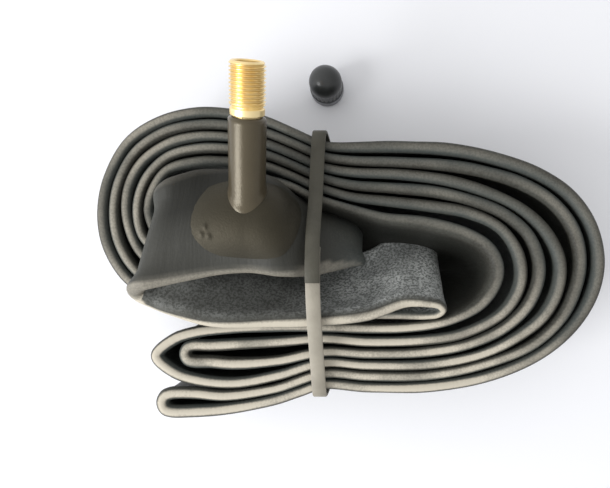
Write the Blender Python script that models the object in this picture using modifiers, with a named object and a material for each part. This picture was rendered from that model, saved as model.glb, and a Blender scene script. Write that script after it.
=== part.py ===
"""Bicycle inner tube, pressed flat, wound on edge into an oval bundle and held by a strap.

The valve is a rubber-covered stem with a screw-in core.  Its dust cap stands beside the bundle.
Lengths are millimetres times MM, so the scene itself is in metres, +Z up.
"""
from math import cos, pi, radians, sin

import bmesh
import bpy
import numpy as np
from mathutils import Matrix, Vector, kdtree

MM = 0.001

# Flattened tube, mm
STRIP_WIDTH = 27.0
WALL_PAIR = 1.5
FOLD_EDGE = 2.0
FLAT_CUT = 0.5
ON_EDGE = STRIP_WIDTH / 2 - FLAT_CUT
STATION_STEP = 14.0
STATION_TURN = 26.0
STATION_TWIST = 20.0
CURVE_SAMPLES = 40
NEAR_ALONG = 6.5

# The plan of the route is drawn from the point under the eye; the part's origin lies here, mm
BUNDLE_CENTRE = (-4.35, 8.08)

# Strap, mm
STRAP_X = -12.2
STRAP_WIDTH = 3.4
STRAP_THICK = 0.9
STRAP_ROOM = 0.45
STRAP_PRESS_REACH = 11.0

# Valve, mm along its axis from the foot
VALVE_FOOT = (-27.8, 10.6, 34.4)
VALVE_AXIS = (0.0925, 0.905, 0.42)
COVER_LENGTH = 22.2
COVER_RADIUS = 4.1
COVER_EDGE = 0.5
STEM_START = 8.2
STEM_END = 33.5
STEM_RADIUS = 3.85
STEM_CHAMFER = 0.55
THREAD_FOOT = 24.8
RELIEF_FOOT = 24.1
RELIEF_RADIUS = 3.3
COLLAR_RADIUS = 3.7
SHANK_RADIUS = 3.0
BARB_FOOT = 11.0
BARB_TOP = 12.8
BARB_RISE = 0.4
PATCH_CENTRE_X = -27.0
PATCH_HALF_LENGTH = 13.0
PATCH_HALF_WIDTH = 10.4
PATCH_SHIFT = -1.1
PATCH_THICK = 1.2
PATCH_FEATHER = 0.75
SLEEVE_SINK = 0.4
LAP_ROOM = 9.0
FIT_GAP = 0.3

# Valve core, mm
CORE_BORE = 2.2
CORE_MOUTH = 2.75
SEAT_TOP = 27.5
SEAT_FOOT = 26.0
SHELF = 10.0
AIR_WAY = 1.5
AIR_DROP = 9.0
PLUG_TOP = 32.6
PLUG_FOOT = 29.2
PLUG_RADIUS = 2.4
PLUG_HEAD = 1.8
PLUG_BORE = 1.15
SLOT_SIZE = (1.3, 6.0, 1.4)
SLOT_HEIGHT = 32.3
BARREL_BORE = 0.9
BARREL_TOP = 28.8
BARREL_FOOT = 20.2
BARREL_RADIUS = 1.8
GASKET_NECK = 1.3
GASKET_BORE = 1.6
PIN_RADIUS = 0.5
PIN_HEAD = 0.8
PIN_TOP = 33.0
PIN_FOOT = 11.0
CUP_TOP = 19.3
CUP_FOOT = 17.3
CUP_RADIUS = 1.9
SEAL_TOP = 19.6
SEAL_RADIUS = 1.35
RING_FOOT = 10.3
RING_RADIUS = 1.85
SPRING_TOP = 17.0
SPRING_FOOT = 11.6
SPRING_TURNS = 6
SPRING_RADIUS = 1.4
SPRING_WIRE = 0.2
CURL_POINTS = 9

# Dust cap, mm
CAP_PLACE = (-11.9, 49.8)
CAP_RADIUS = 4.8
CAP_HEIGHT = 11.8
CAP_BORE = 3.95
CAP_DEPTH = 9.6

ROUND_STEPS = 32
SMALL_STEPS = 20
PIN_STEPS = 12


def on_edge(*plan):
    """Stretch of strip that stands upright on its fold edge, given in plan."""
    return [(x, y, ON_EDGE, 0.0, 0.0, 0.0) for x, y in plan]


def bend(centre, radius, start, end, points=5):
    """Plan points of a round turn, from one angle to another in degrees."""
    angles = [radians(start + (end - start) * k / (points - 1)) for k in range(points)]
    return [(centre[0] + radius * cos(a), centre[1] + radius * sin(a)) for a in angles]


# Each stretch lists x, y and, where the strip leaves its edge, the height of its middle, its lean
# from upright towards -Y, how far its width curls round and how far it is turned askew, in degrees.
TOP_RUN = on_edge(
    (-19, 31.7), (-15, 29.9), (-11, 28.3), (8, 28), (20, 27.4), (32, 25), (42, 21.4), (50, 16), (55.2, 8.5),
    (57, 0), (55.6, -8), (51, -16), (43, -23), (30, -28.7), (15, -31.3), (0, -31.5), (-11, -30.8))
OUTER_HAIRPIN = on_edge(
    (-17, -32.7), (-23, -34.6), (-35, -36.8), (-43, -37.4), *bend((-48.6, -35.2), 2.2, 270, 90), (-43, -32.9),
    (-35, -33.5), (-23, -31.8), (-11, -28.1))
SECOND_RUN = on_edge(
    (0, -28.7), (15, -28.5), (28, -26), (40.3, -21.2), (47.8, -14.4), (51.4, -7), (52.6, 0), (51, 7.4),
    (46, 14), (38, 19), (29, 21.8), (20, 23.4), (8, 24.2), (-4, 24.6), (-11, 25.6), (-15, 27.2), (-19, 29))
LEFT_INNER_BEND = on_edge(
    (-26, 31.7), (-34, 33.3), (-42, 33.5), (-50, 31.8), (-57.2, 27), (-61.4, 19.8), (-62.7, 13), (-62, 6),
    (-59.6, 0.4), *bend((-55.4, -1.9), 1.8, 218, 390), (-56.9, 2.9), (-58.9, 7.4), (-59.8, 13),
    (-58.8, 19), (-55.4, 24.7), (-49, 29), (-42, 30.6), (-34, 30.4), (-26, 29), (-19, 26.3))
THIRD_RUN = on_edge(
    (-15, 24.5), (-11, 22.9), (-4, 21.7), (8, 21.2), (20, 19.6), (30, 16.6), (38, 12.6), (44, 7), (47.4, 0),
    (47, -7), (43.5, -13.8), (36.7, -19.2), (28, -23.3), (15, -25.8), (0, -26), (-11, -25.4))
WIDE_HAIRPIN = on_edge(
    (-22, -28.5), (-33, -30.4), (-42, -29.6), (-48, -27.6), (-52.2, -23.6), (-48, -19.6), (-42, -17.7),
    (-33, -16.8), (-20, -16.4), (-11, -16.6))
INNER_RUN = on_edge(
    (0, -16.9), (10, -16.7), (20, -15.2), (28, -11.2), (32, -5.5), (32.4, -1), (30, 3.4), (24, 7), (14, 9.6),
    (4, 10.8), (-4, 12.9), (-11, 15), (-15, 16.5), (-19, 18.3), (-25, 19.7), (-31, 19.4),
    *bend((-36.4, 15.8), 3.0, 90, 270), (-32, 12.2), (-26, 9.2))
VALVE_LAP = [
    (-18, 5.2, 12.6, 6, 0, 0), (-12, 3.2, 12.3, 12, 0, 0), (-8, 2.9, 12.2, 14, 0, 0), (-4.4, 2.9, 12.6, 15, 6, 0),
    (-2.2, 5.2, 16.0, 20, 34, 0), (-3.8, 7.8, 20.0, 28, 68, 0), (-8.5, 8.8, 23.6, 37, 104, 0),
    (-12, 8.8, 26.0, 44, 118, 0), (-15.5, 8.2, 30.4, 56, 138, 0), (-18.5, 7.6, 34.2, 68, 142, 0),
    (-21.5, 8.0, 36.6, 80, 134, 0), (-28, 9.0, 37.2, 90, 120, 0), (-36, 8.6, 36.6, 92, 100, 3),
    (-43, 7.2, 36.4, 94, 55, 11), (-48.6, 5.6, 35.6, 93, 20, 16), (-51.3, 3.6, 32.2, 92, 6, 17)]
LOOSE_LAP = [
    (-48.6, 1.5, 28.9, 88, 0, 14), (-43.5, -0.6, 28.0, 79, 0, 8), (-36, -4.0, 24.6, 60, 0, 0),
    (-24, -6.0, 21.4, 45, 0, 0), (-12, -7.7, 19.4, 33, 0, 0), (0, -6.0, 19.2, 35, 0, 0), (9, -2.2, 18.8, 40, 0, 0),
    (14.5, -2.3, 18.5, 40, 0, 0), (17.2, -3.0, 17.8, 39, 0, 0), (18.3, -4.4, 16.6, 38, 0, 0),
    (17.2, -5.8, 15.4, 37, 0, 0), (14.5, -6.6, 14.6, 35, 0, 0), (8, -7.0, 14.4, 32, 0, 0), (-2, -7.7, 13.8, 28, 0, 0),
    (-12, -8.0, 13.1, 26, 0, 0), (-24, -8.2, 13.1, 24, 0, 0), (-36, -7.3, 13.0, 20, 0, 0), (-44, -3.4, 13.0, 12, 0, 0),
    (-49.2, 2.6, 13.0, 2, 0, 0), (-53, 8.0, 13.0, 0, 0, 0)]
FIFTH_RUN = on_edge(
    (-54.2, 13), (-52.9, 17.8), (-49.5, 22.3), (-42, 24.4), (-34, 24.3), (-26, 23.4), (-19, 20.9), (-15, 19.1),
    (-11, 17.6), (-4, 15.6), (6, 14.4), (15, 13.4), (25, 11.6), (33, 7.6), (37.3, 1), (37.6, -6),
    (33.6, -12.8), (24, -18), (14, -19.8), (0, -20.2), (-11, -19.4))
NARROW_HAIRPIN = on_edge(
    (-22, -20.2), (-33, -20.8), (-39, -21.1), *bend((-43.2, -23.1), 2.0, 90, 270), (-39, -25.2), (-33, -25.6), (-22, -24.8),
    (-11, -22.7))
FOURTH_RUN = on_edge(
    (0, -23.2), (14, -22.8), (25, -20.8), (34, -16.6), (40, -10.4), (42.4, -2), (40, 5.8), (34, 11.2),
    (26, 14.6), (17, 16.8), (6, 17.8), (-4, 18.6), (-11, 20.2), (-15, 21.8), (-19, 23.6))
LEFT_OUTER_BEND = on_edge(
    (-26, 26.3), (-34, 27.5), (-42, 27.6), (-49, 25.8), (-54, 21.4), (-56.4, 16.5), (-57, 11.5), (-55.8, 6.2),
    (-52.4, 1.8), (-50.9, -2.2), (-51.5, -6), (-54.6, -7.2), (-58.4, -5.4), (-62, -1.2), (-64.8, 5),
    (-65.6, 13), (-64, 20.8), (-59, 29.3), (-51, 34.4), (-42, 36.5), (-34, 36.2), (-26, 34.6))
ROUTE = (TOP_RUN + OUTER_HAIRPIN + SECOND_RUN + LEFT_INNER_BEND + THIRD_RUN + WIDE_HAIRPIN + INNER_RUN
         + VALVE_LAP + LOOSE_LAP + FIFTH_RUN + NARROW_HAIRPIN + FOURTH_RUN + LEFT_OUTER_BEND)

# Strap round the waist as y, z in the plane across the bundle, mm, from its hidden end to its tail
STRAP_LOOP = [
    (-1.0, 34.3), (6, 33.2), (12, 30.2), (18, 28.3), (25, 27.8), (29.7, 27.4), (31.7, 24.8), (31.8, 14),
    (31.6, 3.2),
    (29.6, 0.45), (15, 0.45), (0, 0.45), (-15, 0.45), (-31, 0.45), (-33.2, 2.6), (-33.8, 14), (-33.4, 24.5),
    (-32, 27.4), (-27, 28.4), (-20, 30.4), (-13, 33.4), (-6.5, 35.4), (1.5, 35.4)]


def reset_scene():
    for item in list(bpy.data.objects):
        bpy.data.objects.remove(item, do_unlink=True)


def collection(name):
    made = bpy.data.collections.new(name)
    bpy.context.scene.collection.children.link(made)
    return made


def material(name, colour, roughness, metallic=0.0):
    made = bpy.data.materials.new(name)
    made.use_nodes = True
    shader = made.node_tree.nodes["Principled BSDF"]
    shader.inputs["Base Color"].default_value = (*colour, 1.0)
    shader.inputs["Roughness"].default_value = roughness
    shader.inputs["Metallic"].default_value = metallic
    return made


def add_object(name, data, group, finish=None):
    item = bpy.data.objects.new(name, data)
    group.objects.link(item)
    if finish:
        data.materials.append(finish)
    return item


def mesh_of(name, points, faces):
    mesh = bpy.data.meshes.new(name)
    mesh.from_pydata([tuple(p) for p in points], [], faces)
    mesh.update()
    return mesh


def smooth(mesh, angle=40.0):
    mesh.shade_smooth()
    mesh.set_sharp_from_angle(angle=radians(angle))


def turned(name, profile, group, finish, steps=ROUND_STEPS):
    """Solid of revolution about local Z; the profile is a closed outline of (radius, height), mm."""
    count = len(profile)
    points = [(radius * MM, 0.0, height * MM) for radius, height in profile]
    mesh = bpy.data.meshes.new(name)
    mesh.from_pydata(points, [(i, (i + 1) % count) for i in range(count)], [])
    item = add_object(name, mesh, group, finish)
    spin = item.modifiers.new("turn", "SCREW")
    spin.axis = "Z"
    spin.steps = steps
    spin.render_steps = steps
    spin.use_merge_vertices = True
    spin.merge_threshold = 0.00001
    spin.use_smooth_shade = True
    return item


def applied(item):
    """Replace an object's mesh by its evaluated one, facing outwards."""
    graph = bpy.context.evaluated_depsgraph_get()
    mesh = bpy.data.meshes.new_from_object(item.evaluated_get(graph))
    work = bmesh.new()
    work.from_mesh(mesh)
    bmesh.ops.remove_doubles(work, verts=work.verts, dist=0.000002)
    bmesh.ops.recalc_face_normals(work, faces=work.faces)
    work.to_mesh(mesh)
    work.free()
    item.modifiers.clear()
    item.data = mesh
    return item


def hide_cutter(item):
    item.hide_render = True
    item.display_type = "WIRE"


def boolean(item, other, operation):
    step = item.modifiers.new(operation.lower(), "BOOLEAN")
    step.operation = operation
    step.object = other
    step.solver = "EXACT"


def smooth_loop(points):
    """Closed centripetal spline through the route's points, sampled evenly in each span."""
    control = np.array(points, float)
    count = len(control)
    knot = np.linalg.norm(np.roll(control[:, :3], -1, 0) - control[:, :3], axis=1) ** 0.5
    t = np.linspace(0.0, 1.0, CURVE_SAMPLES, endpoint=False)[:, None]
    spans = []
    for i in range(count):
        before, start, end, after = (control[(i + k) % count] for k in (-1, 0, 1, 2))
        d0, d1, d2 = knot[i - 1], knot[i], knot[(i + 1) % count]
        leave = d1 * ((start - before) / d0 - (end - before) / (d0 + d1) + (end - start) / d1)
        arrive = d1 * ((end - start) / d1 - (after - start) / (d1 + d2) + (after - end) / d2)
        spans.append((2 * t**3 - 3 * t**2 + 1) * start + (t**3 - 2 * t**2 + t) * leave
                     + (3 * t**2 - 2 * t**3) * end + (t**3 - t**2) * arrive)
    return np.concatenate(spans)


class Strip:
    """The flattened tube's middle surface along its closed route."""

    def __init__(self, points):
        self.path = smooth_loop(points)
        ahead = np.roll(self.path[:, :3], -1, 0)
        behind = np.roll(self.path[:, :3], 1, 0)
        self.tangent = ahead - behind
        self.tangent /= np.linalg.norm(self.tangent, axis=1, keepdims=True)
        self.piece = np.linalg.norm(ahead - self.path[:, :3], axis=1)
        self.along = np.concatenate([[0.0], np.cumsum(self.piece)[:-1]])
        self.length = self.piece.sum()

    def stations(self):
        """Rows of the path spaced by length, by turning and by twist."""
        turn = np.degrees(np.arccos(np.clip((self.tangent * np.roll(self.tangent, -1, 0)).sum(1), -1, 1)))
        twist = np.abs(np.roll(self.path[:, 3], -1) - self.path[:, 3])
        cost = self.piece / STATION_STEP + turn / STATION_TURN + twist / STATION_TWIST
        total = np.concatenate([[0.0], np.cumsum(cost)])
        count = round(total[-1])
        return np.searchsorted(total, np.arange(count) * total[-1] / count) % len(self.path)

    def surface(self, rows, across, proud):
        """Points at offsets across the width and proud of the middle surface, rows by offsets."""
        lean, curl, askew = np.radians(self.path[rows, 3:6]).T[:, :, None]
        curl = np.where(np.abs(curl) < 0.001, 0.001, curl)
        angle = lean + curl * across / STRIP_WIDTH
        radius = STRIP_WIDTH / curl
        level = (np.cos(lean) - np.cos(angle)) * radius
        shift = np.stack([-np.sin(askew) * level, -np.cos(askew) * level,
                          (np.sin(angle) - np.sin(lean)) * radius], -1)
        width = np.stack([-np.sin(askew) * np.sin(angle), -np.cos(askew) * np.sin(angle), np.cos(angle)], -1)
        normal = np.cross(np.broadcast_to(self.tangent[rows][:, None, :], width.shape), width)
        normal /= np.linalg.norm(normal, axis=-1, keepdims=True)
        return self.path[rows][:, None, :3] + shift + normal * np.asarray(proud)[..., None]

    def row_at(self, x, first, last):
        """Row nearest to x between two points of the route."""
        rows = np.arange(first * CURVE_SAMPLES, last * CURVE_SAMPLES)
        return rows[np.argmin(np.abs(self.path[rows, 0] - x))]


def to_part(points):
    """Route coordinates in mm to the part's frame in metres."""
    moved = np.array(points, float)
    moved[..., 0] -= BUNDLE_CENTRE[0]
    moved[..., 1] -= BUNDLE_CENTRE[1]
    return moved * MM


def dog_bone():
    """Section of the flattened tube: two walls lying together, rounded where they fold."""
    tip = STRIP_WIDTH / 2
    bulb = tip - 1.1
    waist = tip - 3.9
    half = [(tip, FOLD_EDGE / 4), (bulb, FOLD_EDGE / 2), (waist, WALL_PAIR / 2)]
    side = half + [(0.0, WALL_PAIR / 2)] + [(-s, n) for s, n in reversed(half)]
    outline = side + [(s, -n) for s, n in reversed(side)]
    return np.array(outline)


def least_gap(points, along, length):
    """Least distance between points of stretches that aren't neighbours along the strip."""
    flat = points.reshape(-1, 3)
    where = np.repeat(along, points.shape[1])
    tree = kdtree.KDTree(len(flat))
    for index, point in enumerate(flat):
        tree.insert(point, index)
    tree.balance()
    best = FOLD_EDGE
    for index, point in enumerate(flat):
        for _, other, distance in tree.find_range(point, best):
            apart = abs(where[index] - where[other])
            if min(apart, length - apart) > NEAR_ALONG:
                best = min(best, distance)
    return best


def flat_underside(points):
    """Flatten what the bundle stands on and press a shallow way for the strap."""
    rise = np.where(np.abs(points[..., 0] - STRAP_X) < STRAP_PRESS_REACH, STRAP_THICK + STRAP_ROOM, 0.0)
    points[..., 2] = np.maximum(points[..., 2], rise)
    return points


def make_tube(strip, group, finish):
    rows = strip.stations()
    across, proud = dog_bone().T
    rings = flat_underside(strip.surface(rows, across, np.broadcast_to(proud, (len(rows), len(proud)))))
    gap = least_gap(rings, strip.along[rows], strip.length)
    print(f"tube: {strip.length / 1000:.3f} m of strip, {len(rows)} stations, least gap {gap:.2f} mm")
    count, sides = rings.shape[:2]
    faces = []
    for i in range(count):
        for k in range(sides):
            nxt = ((i + 1) % count) * sides
            faces.append((i * sides + k, i * sides + (k + 1) % sides, nxt + (k + 1) % sides, nxt + k))
    mesh = mesh_of("tube", to_part(rings).reshape(-1, 3), faces)
    smooth(mesh, 60.0)
    return applied(add_object("tube", mesh, group, finish))


def make_patch(strip, name, lift, thick, taper, spread, group, finish=None):
    """Oval pad over the valve lap, following its curl; lift is its height over the rubber."""
    first = len(TOP_RUN + OUTER_HAIRPIN + SECOND_RUN + LEFT_INNER_BEND + THIRD_RUN + WIDE_HAIRPIN + INNER_RUN)
    centre = strip.along[strip.row_at(PATCH_CENTRE_X, first + 8, first + len(VALVE_LAP) - 2)]
    rings = 5
    spokes = 28
    turn = np.arange(spokes) * 2 * pi / spokes
    layers = []
    for side in (1, 0):
        for ring in range(rings + 1):
            reach = ring / rings
            where = centre + spread * PATCH_HALF_LENGTH * reach * np.cos(turn)
            rows = np.searchsorted(strip.along, where)
            across = (PATCH_SHIFT + spread * PATCH_HALF_WIDTH * reach * np.sin(turn))[:, None]
            height = WALL_PAIR / 2 + lift + side * thick * (1 - taper * reach**4)
            layers.append(strip.surface(rows, across, np.full((spokes, 1), height))[:, 0])
    points = np.array(layers)
    faces = []
    for layer in range(2):
        start = layer * (rings + 1) * spokes
        for ring in range(rings):
            for k in range(spokes):
                a = start + ring * spokes + k
                b = start + ring * spokes + (k + 1) % spokes
                faces.append((a, b, b + spokes, a + spokes))
    rim = rings * spokes
    other = (2 * rings + 1) * spokes
    for k in range(spokes):
        nxt = (k + 1) % spokes
        faces.append((rim + k, rim + nxt, other + nxt, other + k))
    mesh = mesh_of(name, to_part(points).reshape(-1, 3), faces)
    return applied(add_object(name, mesh, group, finish))


def valve_frame():
    """Placement of the valve: local +Z runs up the stem from its foot."""
    up = Vector(VALVE_AXIS).normalized()
    side = Vector((1.0, 0.0, 0.0))
    side = (side - up * side.dot(up)).normalized()
    turn = Matrix((side, up.cross(side), up)).transposed().to_4x4()
    foot = Vector((VALVE_FOOT[0] - BUNDLE_CENTRE[0], VALVE_FOOT[1] - BUNDLE_CENTRE[1], VALVE_FOOT[2])) * MM
    return Matrix.Translation(foot) @ turn


def turned_cutter(name, profile, frame, cutters):
    item = turned(name, profile, cutters, None)
    item.matrix_world = frame
    bpy.context.view_layer.update()
    hide_cutter(item)
    return applied(item)


def make_valve_cover(strip, frame, group, cutters, finish):
    """Rubber stem cover moulded in one with the pad that is vulcanised to the tube."""
    pad = make_patch(strip, "valve_cover", FIT_GAP, PATCH_THICK, PATCH_FEATHER, 1.0, group, finish)
    top = COVER_LENGTH
    foot = [(COVER_RADIUS * cos(radians(a)), COVER_RADIUS * sin(radians(a))) for a in (0, -30, -60)]
    sleeve = turned_cutter("cover_sleeve", [
        (0.0, top), (COVER_RADIUS - COVER_EDGE, top), (COVER_RADIUS, top - COVER_EDGE)] + foot
        + [(0.0, -COVER_RADIUS)], frame, cutters)
    room = make_patch(strip, "lap_room", FIT_GAP + SLEEVE_SINK - LAP_ROOM, LAP_ROOM, 0.0, 1.15, cutters)
    hide_cutter(room)
    boolean(sleeve, room, "DIFFERENCE")
    applied(sleeve)
    boolean(pad, sleeve, "UNION")
    applied(pad)
    bore = SHANK_RADIUS + FIT_GAP
    ring = SHANK_RADIUS + BARB_RISE + FIT_GAP
    socket = turned_cutter("stem_socket", [
        (0.0, top + 1.0), (bore, top + 1.0), (bore, BARB_TOP + 2 * FIT_GAP), (ring, BARB_TOP + FIT_GAP),
        (ring, BARB_FOOT - FIT_GAP), (bore, BARB_FOOT - 2 * FIT_GAP), (bore, STEM_START - FIT_GAP),
        (0.0, STEM_START - FIT_GAP)], frame, cutters)
    boolean(pad, socket, "DIFFERENCE")
    applied(pad)
    inlet = frame @ Vector((0.0, 0.0, (STEM_START + FIT_GAP) * MM))
    air_way = turned_cutter("air_way", [(0.0, 0.0), (AIR_WAY, 0.0), (AIR_WAY, -AIR_DROP), (0.0, -AIR_DROP)],
                            Matrix.Translation(inlet), cutters)
    boolean(pad, air_way, "DIFFERENCE")
    return applied(pad)


def make_brass_stem(frame, group, finish):
    """Turned stem: thread crest, relief, collar, shank with a barb, and the stepped bore of the core."""
    collar_foot = COVER_LENGTH + FIT_GAP
    barb = SHANK_RADIUS + BARB_RISE
    profile = [
        (CORE_MOUTH, STEM_END), (STEM_RADIUS - STEM_CHAMFER, STEM_END), (STEM_RADIUS, STEM_END - STEM_CHAMFER),
        (STEM_RADIUS, THREAD_FOOT), (RELIEF_RADIUS, THREAD_FOOT - 0.4), (RELIEF_RADIUS, RELIEF_FOOT + 0.2),
        (COLLAR_RADIUS, RELIEF_FOOT), (COLLAR_RADIUS, collar_foot), (SHANK_RADIUS, collar_foot),
        (SHANK_RADIUS, BARB_TOP + 0.2), (barb, BARB_TOP), (barb, BARB_FOOT), (SHANK_RADIUS, BARB_FOOT - 0.2),
        (SHANK_RADIUS, STEM_START), (AIR_WAY, STEM_START), (AIR_WAY, SHELF), (CORE_BORE, SHELF),
        (CORE_BORE, SEAT_FOOT), (CORE_MOUTH, SEAT_TOP)]
    item = turned("brass_stem", profile, group, finish)
    item.matrix_world = frame


def make_core(frame, group, cutters, finish):
    """Screw-in valve core: the pieces share the stem's axis and stack from the mouth inwards."""
    profiles = {
        "core_plug": [
            (PLUG_BORE, PLUG_TOP), (PLUG_HEAD, PLUG_TOP), (PLUG_HEAD, PLUG_TOP - 1.0), (PLUG_RADIUS, PLUG_TOP - 1.4),
            (PLUG_RADIUS, PLUG_FOOT), (PLUG_BORE, PLUG_FOOT)],
        "core_barrel": [
            (BARREL_BORE, BARREL_TOP), (BARREL_RADIUS, BARREL_TOP), (BARREL_RADIUS, SEAT_TOP - 0.1),
            (GASKET_NECK, SEAT_TOP - FIT_GAP), (GASKET_NECK, SEAT_FOOT - 1.1), (BARREL_RADIUS, SEAT_FOOT - 1.3),
            (BARREL_RADIUS, BARREL_FOOT + 0.7), (GASKET_NECK, BARREL_FOOT), (BARREL_BORE, BARREL_FOOT)],
        "core_gasket": [
            (GASKET_BORE, SEAT_TOP - 0.6), (CORE_BORE - 0.05, SEAT_TOP - 0.6), (CORE_BORE - FIT_GAP, SEAT_FOOT - 0.8),
            (GASKET_BORE, SEAT_FOOT - 0.8)],
        "core_pin": [
            (0.0, PIN_TOP), (PIN_HEAD - 0.25, PIN_TOP), (PIN_HEAD, PIN_TOP - 0.25), (PIN_HEAD, PIN_TOP - 0.8),
            (PIN_RADIUS, PIN_TOP - 1.1), (PIN_RADIUS, PIN_FOOT + 0.3), (PIN_RADIUS - 0.2, PIN_FOOT), (0.0, PIN_FOOT)],
        "pin_cup": [
            (SEAL_RADIUS + FIT_GAP, CUP_TOP), (CUP_RADIUS, CUP_TOP), (CUP_RADIUS, CUP_FOOT + 0.3),
            (CUP_RADIUS - 0.3, CUP_FOOT), (PIN_RADIUS + FIT_GAP, CUP_FOOT), (PIN_RADIUS + FIT_GAP, CUP_FOOT + 0.8),
            (SEAL_RADIUS + FIT_GAP, CUP_FOOT + 0.8)],
        "pin_seal": [
            (PIN_RADIUS + FIT_GAP, SEAL_TOP), (SEAL_RADIUS - 0.15, SEAL_TOP), (SEAL_RADIUS, SEAL_TOP - 0.2),
            (SEAL_RADIUS, CUP_FOOT + 1.1), (PIN_RADIUS + FIT_GAP, CUP_FOOT + 1.1)],
        "spring_seat": [
            (PIN_RADIUS + 0.35, RING_FOOT + 0.9), (SPRING_RADIUS - FIT_GAP, RING_FOOT + 0.9),
            (SPRING_RADIUS - FIT_GAP, RING_FOOT + 0.6), (RING_RADIUS, RING_FOOT + 0.6), (RING_RADIUS, RING_FOOT),
            (PIN_RADIUS + 0.35, RING_FOOT)]}
    slots = {"core_gasket": "seal", "pin_seal": "seal"}
    pieces = {}
    for name, profile in profiles.items():
        steps = PIN_STEPS if name == "core_pin" else SMALL_STEPS
        pieces[name] = turned(name, profile, group, finish[slots.get(name, "brass")], steps)
        pieces[name].matrix_world = frame
    slot = add_object("plug_slot", bpy.data.meshes.new("plug_slot"), cutters)
    size = Matrix.Diagonal((*(side * MM for side in SLOT_SIZE), 1.0))
    box = bmesh.new()
    bmesh.ops.create_cube(box, size=1.0, matrix=frame @ Matrix.Translation((0, 0, SLOT_HEIGHT * MM)) @ size)
    box.to_mesh(slot.data)
    box.free()
    hide_cutter(slot)
    bpy.context.view_layer.update()
    boolean(applied(pieces["core_plug"]), slot, "DIFFERENCE")
    make_spring(frame, group, finish["steel"])


def make_spring(frame, group, finish):
    """Coil spring between the pin's cup and the seat, one unbroken wire."""
    count = SPRING_TURNS * CURL_POINTS + 1
    curve = bpy.data.curves.new("core_spring", "CURVE")
    curve.dimensions = "3D"
    curve.bevel_depth = SPRING_WIRE * MM
    curve.bevel_resolution = 1
    curve.use_fill_caps = True
    spline = curve.splines.new("POLY")
    spline.points.add(count - 1)
    rise = SPRING_TOP - SPRING_FOOT - 2 * SPRING_WIRE
    for index, point in enumerate(spline.points):
        turn = 2 * pi * index / CURL_POINTS
        height = SPRING_FOOT + SPRING_WIRE + rise * index / (count - 1)
        point.co = (SPRING_RADIUS * cos(turn) * MM, SPRING_RADIUS * sin(turn) * MM, height * MM, 1.0)
    print(f"spring: {SPRING_TURNS} turns, least gap {rise / SPRING_TURNS - 2 * SPRING_WIRE:.2f} mm")
    item = add_object("core_spring", curve, group, finish)
    item.matrix_world = frame


def make_cap(group, finish):
    shoulder = CAP_HEIGHT - CAP_RADIUS * 0.9
    dome = [(CAP_RADIUS * 0.96 * cos(radians(a)), shoulder + (CAP_HEIGHT - shoulder) * sin(radians(a)))
            for a in (75, 60, 45, 30, 15, 0)]
    skirt = [(CAP_RADIUS * 0.96, 3.4), (CAP_RADIUS, 3.1), (CAP_RADIUS, 0.4), (CAP_RADIUS - 0.3, 0.0)]
    inside = [(CAP_BORE + 0.2, 0.0), (CAP_BORE, 0.5), (CAP_BORE, CAP_DEPTH - 1.2), (CAP_BORE - 1.2, CAP_DEPTH),
              (0.0, CAP_DEPTH)]
    item = turned("valve_cap", [(0.0, CAP_HEIGHT)] + dome + skirt + inside, group, finish)
    item.location = (*to_part([[*CAP_PLACE, 0.0]])[0],)


def make_strap(group, finish):
    """Flat strap round the waist; its tail laps over its hidden end on top."""
    control = np.array(STRAP_LOOP)
    knots = np.arange(len(control))
    fine = np.linspace(0, len(control) - 1, 5 * (len(control) - 1) + 1)
    line = np.stack([catmull(control[:, k], knots, fine) for k in (0, 1)], -1)
    ahead = np.gradient(line, axis=0)
    ahead /= np.linalg.norm(ahead, axis=1, keepdims=True)
    out = np.stack([-ahead[:, 1], ahead[:, 0]], -1)
    rings = []
    for across, proud in ((-1, -1), (1, -1), (1, 1), (-1, 1)):
        ring = line + out * proud * STRAP_THICK / 2
        x = np.full(len(line), STRAP_X + across * STRAP_WIDTH / 2)
        rings.append(np.column_stack([x, ring]))
    points = np.stack(rings, 1)
    points[..., 2] = np.maximum(points[..., 2], 0.0)
    faces = []
    for i in range(len(line) - 1):
        for k in range(4):
            faces.append((4 * i + k, 4 * i + (k + 1) % 4, 4 * i + 4 + (k + 1) % 4, 4 * i + 4 + k))
    last = 4 * (len(line) - 1)
    faces += [(3, 2, 1, 0), (last, last + 1, last + 2, last + 3)]
    mesh = mesh_of("strap", to_part(points).reshape(-1, 3), faces)
    smooth(mesh)
    applied(add_object("strap", mesh, group, finish))


def catmull(values, knots, fine):
    """Smooth curve through evenly numbered values."""
    padded = np.concatenate([[2 * values[0] - values[1]], values, [2 * values[-1] - values[-2]]])
    start = np.minimum(fine.astype(int), len(knots) - 2)
    t = fine - start
    a, b, c, d = (padded[start + k] for k in range(4))
    return 0.5 * (2 * b + (c - a) * t + (2 * a - 5 * b + 4 * c - d) * t**2 + (3 * b - a - 3 * c + d) * t**3)


def main():
    reset_scene()
    parts = collection("inner_tube")
    cutters = collection("cutters")
    finish = {
        "tube": material("butyl_rubber", (0.075, 0.085, 0.085), 0.62),
        "cover": material("cover_rubber", (0.055, 0.05, 0.04), 0.5),
        "brass": material("brass", (0.78, 0.55, 0.22), 0.28, 1.0),
        "steel": material("spring_steel", (0.5, 0.5, 0.5), 0.3, 1.0),
        "seal": material("seal_rubber", (0.03, 0.03, 0.03), 0.6),
        "cap": material("cap_plastic", (0.012, 0.012, 0.014), 0.35),
        "strap": material("strap_rubber", (0.16, 0.16, 0.14), 0.55)}
    strip = Strip(ROUTE)
    frame = valve_frame()
    make_tube(strip, parts, finish["tube"])
    make_valve_cover(strip, frame, parts, cutters, finish["cover"])
    make_brass_stem(frame, parts, finish["brass"])
    make_core(frame, parts, cutters, finish)
    make_cap(parts, finish["cap"])
    make_strap(parts, finish["strap"])


main()
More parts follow.
